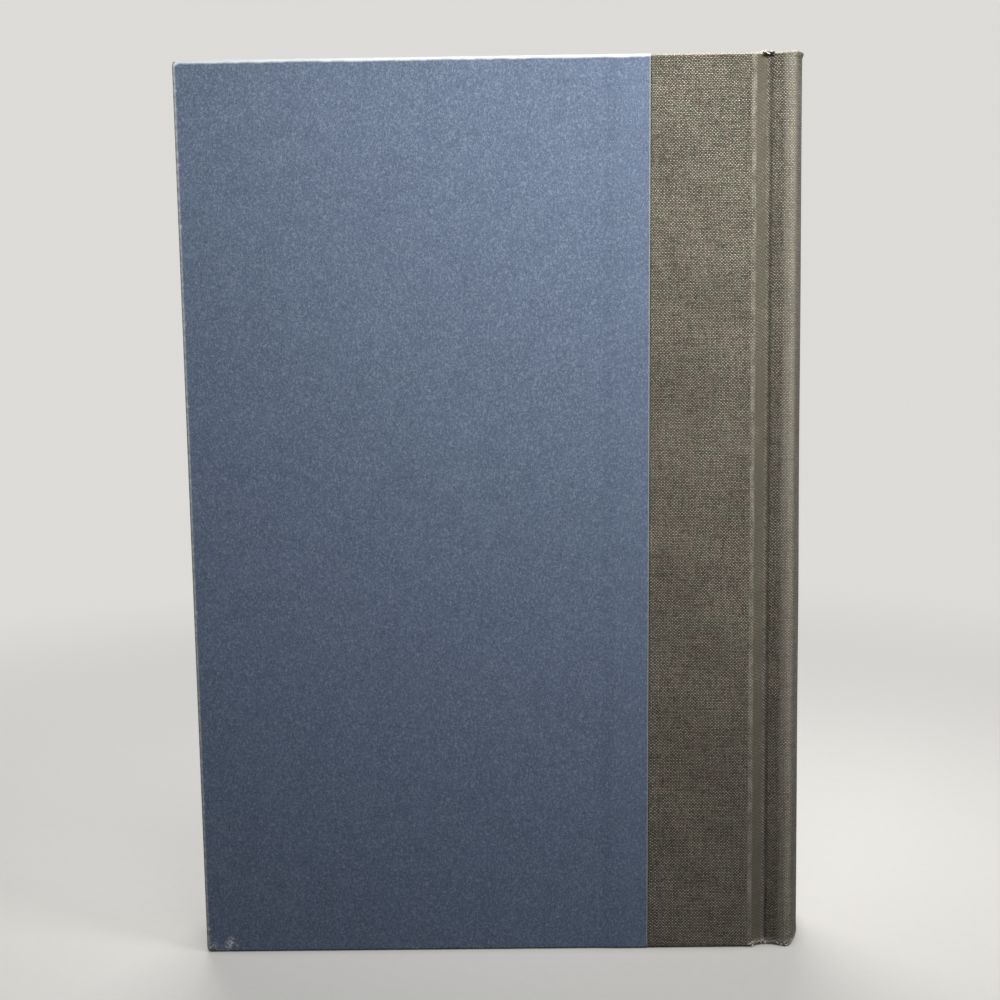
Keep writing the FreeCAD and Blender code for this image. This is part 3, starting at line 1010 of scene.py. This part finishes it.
def end_place(kind, amount, fold, rounding):
    """Depth behind the cloth's face and distance from its end, at one step of the way round a fold."""
    if kind == "inner":
        return fold, amount
    if kind == "inner corner":
        return fold - rounding + rounding * math.cos(amount), rounding - rounding * math.sin(amount)
    if kind == "outer corner":
        return rounding - rounding * math.sin(amount), rounding - rounding * math.cos(amount)
    return 0.0, amount


def end_steps(settings):
    """The steps from the turned-in edge, round the fold and out on to the face."""
    quarter = between(0, math.pi / 2, FOLD_STEPS)
    steps = [("inner", settings.turn_in)]
    steps += [("inner", distance * MM) for distance in INNER_ROWS]
    steps += [("inner corner", angle) for angle in quarter]
    steps += [("outer corner", angle) for angle in quarter]
    steps += [("outer", distance * MM) for distance in OUTER_ROWS]
    return steps


def relief(place, height, settings):
    """How far the cloth stands out from its plain line, by the wear and the pull of its folds."""
    below_head = HEAD - height
    above_tail = height - TAIL
    groove = bump_at(place.x, HINGE.x - 0.4 * MM, GROOVE_WIDTH)
    bridge = groove * remapped(-below_head, -1.1 * MM, -0.5 * MM) * HEAD_BRIDGE
    on_spine = remapped(place.x, HINGE.x + 2 * MM, BAND_HIGH.x)
    flare = on_spine * remapped(-below_head, -1.6 * MM, -0.3 * MM) * HEAD_FLARE
    foot = groove * remapped(-above_tail, -2.2 * MM, -0.6 * MM) * TAIL_BRIDGE
    foot += on_spine * remapped(-above_tail, -3 * MM, -0.5 * MM) * TAIL_FLARE
    sway = noise.noise(Vector((place.x * 60, 0, height * 25))) * SWAY
    loose = remapped(place.x, BOARD_HIGH.x - 1 * MM, BOARD_HIGH.x + 1 * MM)
    over_strip = remapped(place.x, HINGE.x + 3.5 * MM, BAND_HIGH.x - 0.5 * MM)
    slack = settings.slack_head + (settings.slack_tail - settings.slack_head) * below_head / (HEAD - TAIL)
    return bridge + flare + foot + sway * loose + slack * over_strip


def hidden_edge(height):
    """Where along X the cloth ends under the paper, just past the paper's climb."""
    paper = bpy.context.scene.book_paper
    return ridge_at(height, paper) + paper.ridge_width / 2


def set_row(verts, layers, level, settings):
    """Puts one row of the cloth in its place and adds up the way gone round the folds."""
    base, inward, fold, _, along = layers
    for vertex in verts:
        place, way = vertex[base], vertex[inward]
        depth, height = level(place, vertex[fold])
        depth -= relief(place, height, settings)
        moved = Vector((place.x, place.y, height)) + way * depth
        if place.x < PAPER_HIGH.x - 1 * MM:
            moved.x = hidden_edge(height)
        elif place.x < PAPER_HIGH.x + 1 * MM:
            moved.x += bpy.context.scene.book_paper.lean * ((height - TAIL) / (HEAD - TAIL) - 0.5)
        vertex[along] += (moved - vertex.co).length
        vertex.co = moved


def cloth_levels(settings):
    """For each row of the cloth, a function that gives its depth and height at a place."""

    def at_end(end_level, inward, kind, amount):
        def level(place, fold):
            depth, distance = end_place(kind, amount, fold, min(settings.fold_rounding, fold / 2))
            return depth, end_level(place) + inward * distance
        return level

    def at_height(height):
        return lambda place, fold: (0.0, height)

    steps = end_steps(settings)
    rows = [at_end(tail_level, 1, *step) for step in steps]
    rows += [at_height(height) for height in between(TAIL + ROWS_FROM_ENDS, HEAD - ROWS_FROM_ENDS, ROWS)]
    rows += [at_end(head_level, -1, *step) for step in reversed(steps)]
    return rows


def cloth_half(settings, side):
    """One half of the cloth's outer skin, shaped as on the back, with its turned-in ends and its maps."""
    bm = bmesh.new()
    layers = line_layers(bm)
    line = cloth_line(bm, settings)
    mark_line(line, layers, settings)
    levels = cloth_levels(settings)
    verts, edges = bm.verts[:], bm.edges[:]
    set_row(verts, layers, levels[0], settings)
    for level in levels[1:]:
        made = bmesh.ops.extrude_edge_only(bm, edges=edges)["geom"]
        verts = [item for item in made if isinstance(item, bmesh.types.BMVert)]
        new = set(verts)
        edges = [item for item in made if isinstance(item, bmesh.types.BMEdge) and new.issuperset(item.verts)]
        set_row(verts, layers, level, settings)
    bmesh.ops.recalc_face_normals(bm, faces=bm.faces)
    map_cloth(bm, layers, side)
    return bm


def map_cloth(bm, layers, side):
    """Lays the cloth's two maps: metres across and along its threads, and its X and Z at rest."""
    across, along = layers[3], layers[4]
    middle = max(vertex[across] for vertex in bm.verts)
    cloth_map = bm.loops.layers.uv.new("cloth")
    rest_map = bm.loops.layers.uv.new("rest")
    for face in bm.faces:
        for loop in face.loops:
            vertex = loop.vert
            from_middle = SIDES[side] * (middle - vertex[across])
            loop[cloth_map].uv = (middle + from_middle, vertex[along])
            loop[rest_map].uv = (vertex.co.x, vertex.co.z)


def join_cover(piece, side):
    """Lets a piece bend between the pages' body and a cover."""
    across = to_side(side)
    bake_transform(piece, "book_block", side + "_cover", start=JOINT_START * across, end=JOINT_END * across)


def build_cloth(context, side):
    """One half of the cloth, which bends at the joint."""
    settings = context.scene.book_cloth
    bm = cloth_half(settings, side)
    on_side(bm, side, Vector((HINGE.x, 0, MIDDLE_HEIGHT)))
    piece = finished(bm, side + "_cloth", [cloth_material(settings), cloth_back_material(settings)])
    thicken(piece, settings.thickness * CLOTH_WALL, 1)
    join_cover(piece, side)
    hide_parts(side + "_cloth_flap", "spine_cloth")


def fray_places(bm):
    """Points on the cloth's lower edge past the board, and on its upper edge over the groove."""
    tail = []
    head = []
    for vertex in bm.verts:
        x, y, z = vertex.co
        if x > BOARD_HIGH.x - 1 * MM and y < -FRAY_FROM_MIDDLE and z < FRAY_HEIGHT:
            tail.append(vertex.co.copy())
        if abs(x - HINGE.x + HEAD_FRAY_OFFSET) < HEAD_FRAY_HALF and z > HEAD - HEAD_FRAY_DEPTH:
            head.append(vertex.co.copy())
    return tail, head


def build_fibres(context, side):
    """Short frayed fibres on the cloth's lower edge at the joint and spine, and at the head of the groove."""
    settings = context.scene.book_cloth
    bm = cloth_half(settings, side)
    tail, head = fray_places(bm)
    bm.free()
    chance = random.Random(FRAY_SEED)
    bm = bmesh.new()
    for places, count in ((tail, settings.fibres), (head, settings.fibres // 3)):
        for _ in range(count):
            add_fibre(bm, chance.choice(places), chance)
    on_side(bm, side, Vector((HINGE.x, 0, MIDDLE_HEIGHT)))
    bmesh.ops.recalc_face_normals(bm, faces=bm.faces)
    piece = finished(bm, side + "_frayed_fibres", [fibre_material(settings)])
    join_cover(piece, side)


def add_fibre(bm, place, chance):
    """One fibre or small tuft, lying at a slant on the cloth's edge."""
    reach = chance.uniform(*FIBRE_LENGTHS) * MM
    width = chance.uniform(*FIBRE_WIDTHS) * MM
    tilt = Matrix.Rotation(chance.uniform(*FIBRE_TILTS), 4, "X")
    turn = Matrix.Rotation(chance.uniform(*FIBRE_TURNS), 4, "Y")
    shift = Matrix.Translation(place + Vector((0, -width, max(width - place.z, 0.0))))
    shape = Matrix.Diagonal((width, width, reach, 1))
    made = bmesh.ops.create_icosphere(bm, subdivisions=2, radius=1, matrix=shift @ tilt @ turn @ shape)
    lowest = min(vertex.co.z for vertex in made["verts"])
    bmesh.ops.translate(bm, vec=(0, 0, max(FIBRE_CLEARANCE - lowest, 0.0)), verts=made["verts"])


def build_endpaper_joint(context, side, material):
    """The strip of endpaper that runs from the pastedown over the joint to the flyleaf."""
    start = Vector((FLYLEAF_HIGH.x - FLYLEAF_LAP, FLYLEAF_LOW.y - LEAF_LIFT, PAGES_LOW.z))
    end = Vector((PASTEDOWN_HIGH.x - PASTEDOWN_LAP, PASTEDOWN_HIGH.y + LEAF_LIFT, PAGES_LOW.z))
    bm = bmesh.new()
    line = bm.edges.new([bm.verts.new(place) for place in (start, end)])
    bmesh.ops.subdivide_edges(bm, edges=[line], cuts=JOINT_CUTS)
    made = bmesh.ops.extrude_edge_only(bm, edges=bm.edges[:])["geom"]
    raised = [item for item in made if isinstance(item, bmesh.types.BMVert)]
    bmesh.ops.translate(bm, vec=(0, 0, PAGES_HIGH.z - PAGES_LOW.z), verts=raised)
    on_side(bm, side, Vector((BOARD_HIGH.x, BOARD_LOW.y, MIDDLE_HEIGHT)))
    piece = finished(bm, side + "_endpaper_joint", [material])
    thicken(piece, context.scene.book_inside.leaf * LEAF_WALL, 0)
    across = to_side(side)
    bent = end + Vector((0.2 * MM, 0, 0))
    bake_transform(piece, "book_block", side + "_cover", start=start * across, end=bent * across)


def build_band(context, name, height, material):
    """A wound head or tail band: a bead round the pages' back, swollen at every turn of its thread."""
    settings = context.scene.book_inside
    half_width = BAND_HIGH.y
    radius = (PAGES_HIGH.y**2 + ROUND_DEPTH**2) / (2 * ROUND_DEPTH)
    centre = Vector((PAGES_HIGH.x - radius, 0, height))
    path = radius - BAND_DEPTH / 2 + 0.1 * MM
    half_angle = math.asin(half_width / path)
    stitches = round(2 * half_angle * path / settings.band_stitch)
    bm = bmesh.new()
    start = Matrix.Translation(centre + Vector((path, 0, 0))) @ Matrix.Rotation(math.pi / 2, 4, "X")
    bmesh.ops.create_circle(bm, cap_ends=True, segments=BEAD_SEGMENTS, radius=BEAD_RADIUS, matrix=start)
    bmesh.ops.rotate(bm, cent=centre, matrix=Matrix.Rotation(-half_angle, 3, "Z"), verts=bm.verts)
    geometry = bm.verts[:] + bm.edges[:] + bm.faces[:]
    steps = stitches * STITCH_STEPS
    bmesh.ops.spin(bm, geom=geometry, cent=centre, axis=(0, 0, 1), angle=2 * half_angle, steps=steps)
    wound = bm.loops.layers.uv.new("wound")
    for face in bm.faces:
        for loop in face.loops:
            from_centre = loop.vert.co - centre
            loop[wound].uv = (math.atan2(from_centre.y, from_centre.x) * path, from_centre.z)
    for vertex in bm.verts:
        away = vertex.co - centre
        angle = math.atan2(away.y, away.x)
        core = centre + Vector((math.cos(angle), math.sin(angle), 0)) * path
        swell = abs(math.sin((angle + half_angle) / (2 * half_angle) * stitches * math.pi))
        vertex.co = core + (vertex.co - core) * (BEAD_WAIST + BEAD_SWELL * swell)
    bmesh.ops.recalc_face_normals(bm, faces=bm.faces)
    piece = finished(bm, name, [material])
    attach(piece, "book_block")


def set_material(node, material):
    """Gives a node of the frame a better material in its own slot."""
    for slot in frame["nodes"][node].material_slots:
        slot.material = material


class BOOK_OT_cover_papers(Operator):
    """Wrap both boards in cover paper"""

    bl_idname = "book.cover_papers"
    bl_label = "Cover Papers"

    def execute(self, context):
        for side in SIDES:
            build_paper(context, side)
        return {"FINISHED"}


class BOOK_OT_cloth(Operator):
    """Lay the book cloth over the spine, the joints and the covers"""

    bl_idname = "book.cloth"
    bl_label = "Book Cloth"

    def execute(self, context):
        for side in SIDES:
            build_cloth(context, side)
            build_fibres(context, side)
        return {"FINISHED"}


class BOOK_OT_inside(Operator):
    """Finish the endpapers, the pages and what lies hidden in the binding"""

    bl_idname = "book.inside"
    bl_label = "Pages and Linings"

    def execute(self, context):
        settings = context.scene.book_inside
        endpaper = plain_paper_material("endpaper", settings.endpaper, 8 * MM)
        grey = card_material("board", (0.34, 0.32, 0.28))
        brown = card_material("spine_lining", (0.33, 0.23, 0.14))
        gauze = gauze_material()
        set_material("text_block", page_edge_material(settings))
        for side in SIDES:
            set_material(side + "_flyleaf", endpaper)
            set_material(side + "_pastedown", endpaper)
            build_endpaper_joint(context, side, endpaper)
            set_material(side + "_board", grey)
            set_material(side + "_mull_flap", gauze)
        set_material("spine_strip", grey)
        set_material("spine_mull", gauze)
        set_material("spine_lining", brown)
        wound = band_material(settings)
        tape = plain_paper_material("band_tape", settings.band_light, 3 * MM)
        rise = BAND_HIGH.z - PAGES_HIGH.z
        for node, height in (("headband", PAGES_HIGH.z + rise / 2), ("tailband", PAGES_LOW.z - rise / 2)):
            set_material(node, tape)
            build_band(context, "wound_" + node, height, wound)
        return {"FINISHED"}


class BOOK_OT_stage(Operator):
    """Set the book on a pale floor, with soft lamps and the camera"""

    bl_idname = "book.stage"
    bl_label = "Stage"

    def execute(self, context):
        settings = context.scene.book_stage
        lay_floor(settings)
        hang_lamps(settings)
        set_camera(context, settings)
        context.scene.world = surroundings(settings)
        context.scene.view_settings.view_transform = "Standard"
        return {"FINISHED"}


def lay_floor(settings):
    """A wide floor with the book's shadow on it, which fades into the backdrop further away."""
    bm = bmesh.new()
    bmesh.ops.create_grid(bm, x_segments=1, y_segments=1, size=FLOOR_HALF)
    s = Shader("floor", 0.9, 0.0)
    place = s.place()
    grain = s.noise(place, 3 * MM, 3)
    seen = seen_directly(s)
    far = s.range(s.far_from(place, (0, 0, 0)), FADE_START, FADE_END)
    pale = s.cloudy(grain, shade(settings.floor, 0.98), settings.floor)
    dim = shade(settings.floor, settings.bounce)
    base = s.mix(seen, dim, pale)
    base = s.mix(s.product(far, seen), base, (0, 0, 0))
    near_glow = Vector(settings.backdrop) - Vector(settings.floor) * FLOOR_LIGHT
    s.set(s.surface, "Emission Color", s.mix(far, near_glow, settings.backdrop))
    s.set(s.surface, "Emission Strength", s.product(seen, contact_shadow(s)))
    finished(bm, "floor", [s.finish(base, grain, 0.02 * MM, 0.2)])


def contact_shadow(s):
    """Dark close to where the book touches the floor, and 1 elsewhere."""
    node = s.add("AmbientOcclusion", samples=8)
    s.set(node, "Distance", CONTACT_REACH)
    return s.range(node.outputs["AO"], 0.2, 0.75, 0.1, 1.0)


def seen_directly(s):
    """1 for what the camera sees, also in a mirror or through glass."""
    rays = s.add("LightPath").outputs
    reflected = s.highest(rays["Is Glossy Ray"], rays["Is Transmission Ray"])
    return s.highest(rays["Is Camera Ray"], reflected)


def soft_lamp(name, place, target, size, watts, spread):
    light = bpy.data.lights.new(name, "AREA")
    light.shape = "RECTANGLE"
    light.size, light.size_y = size
    light.energy = watts
    light.spread = spread
    light.color = LAMP_COLOUR
    lamp = bpy.data.objects.new(name, light)
    lamp.location = place
    lamp.rotation_euler = (target - place).to_track_quat("-Z", "Y").to_euler()
    lamp.visible_camera = False
    bpy.context.scene.collection.objects.link(lamp)


def hang_lamps(settings):
    """Soft lamps above the back cover, beside the spine and behind the front cover."""
    aim = KEY_PLACE + Vector((KEY_TURN, math.cos(KEY_TILT), -math.sin(KEY_TILT)))
    soft_lamp("key_lamp", KEY_PLACE, aim, KEY_SIZE, settings.key_lamp, KEY_SPREAD)
    soft_lamp("side_lamp", SIDE_PLACE, SIDE_TARGET, SIDE_SIZE, settings.side_lamp, SIDE_SPREAD)
    soft_lamp("back_lamp", BACK_PLACE, BACK_TARGET, BACK_SIZE, settings.back_lamp, SIDE_SPREAD)


def surroundings(settings):
    """Even light from all round, and a pale backdrop for the camera and for reflections."""
    world = bpy.data.worlds.new("surroundings")
    world.use_nodes = True
    s = Nodes(world.node_tree)
    around = s.tree.nodes["Background"]
    s.set(around, "Color", SKY_COLOUR)
    s.set(around, "Strength", settings.sky)
    pale = s.add("Background")
    s.set(pale, "Color", settings.backdrop)
    mix = s.add("MixShader")
    s.set(mix, 0, seen_directly(s))
    s.set(mix, 1, around.outputs[0])
    s.set(mix, 2, pale.outputs[0])
    s.set(s.tree.nodes["World Output"], "Surface", mix.outputs[0])
    return world


def set_camera(context, settings):
    """The photo's viewpoint: in front of the back cover, level with its upper part."""
    lens = bpy.data.cameras.new("camera")
    lens.lens = settings.lens
    lens.sensor_width = 36
    lens.clip_start = 0.01
    camera = bpy.data.objects.new("camera", lens)
    turn = Matrix.Rotation(-CAMERA_YAW, 4, "Z") @ Matrix.Rotation(math.pi / 2 - CAMERA_PITCH, 4, "X")
    camera.matrix_world = Matrix.Translation(CAMERA_PLACE) @ turn @ Matrix.Rotation(CAMERA_ROLL, 4, "Z")
    context.scene.collection.objects.link(camera)
    context.scene.camera = camera


class BOOK_PT_sidebar(Panel):
    """Lists the book's pieces and its sizes"""

    bl_label = "Quarter Bound Book"
    bl_space_type = "VIEW_3D"
    bl_region_type = "UI"
    bl_category = "Book"

    def draw(self, context):
        layout = self.layout
        for operator in OPERATORS:
            layout.operator(operator.bl_idname)
        for name, group in SETTINGS.items():
            column = layout.column(heading=group.__doc__)
            for key in group.__annotations__:
                column.prop(getattr(context.scene, name), key)


SETTINGS = {
    "book_paper": BookPaperSettings,
    "book_cloth": BookClothSettings,
    "book_inside": BookInsideSettings,
    "book_stage": BookStageSettings,
}
OPERATORS = (BOOK_OT_cover_papers, BOOK_OT_cloth, BOOK_OT_inside, BOOK_OT_stage)


def register():
    for group in SETTINGS.values():
        bpy.utils.register_class(group)
    for name, group in SETTINGS.items():
        setattr(bpy.types.Scene, name, PointerProperty(type=group))
    for item in (*OPERATORS, BOOK_PT_sidebar):
        bpy.utils.register_class(item)


def unregister():
    for item in reversed((*OPERATORS, BOOK_PT_sidebar)):
        bpy.utils.unregister_class(item)
    for name in SETTINGS:
        delattr(bpy.types.Scene, name)
    for group in reversed(SETTINGS.values()):
        bpy.utils.unregister_class(group)


def main():
    register()
    bpy.ops.book.cover_papers()
    bpy.ops.book.cloth()
    bpy.ops.book.inside()
    bpy.ops.book.stage()


if __name__ == "__main__":
    main()
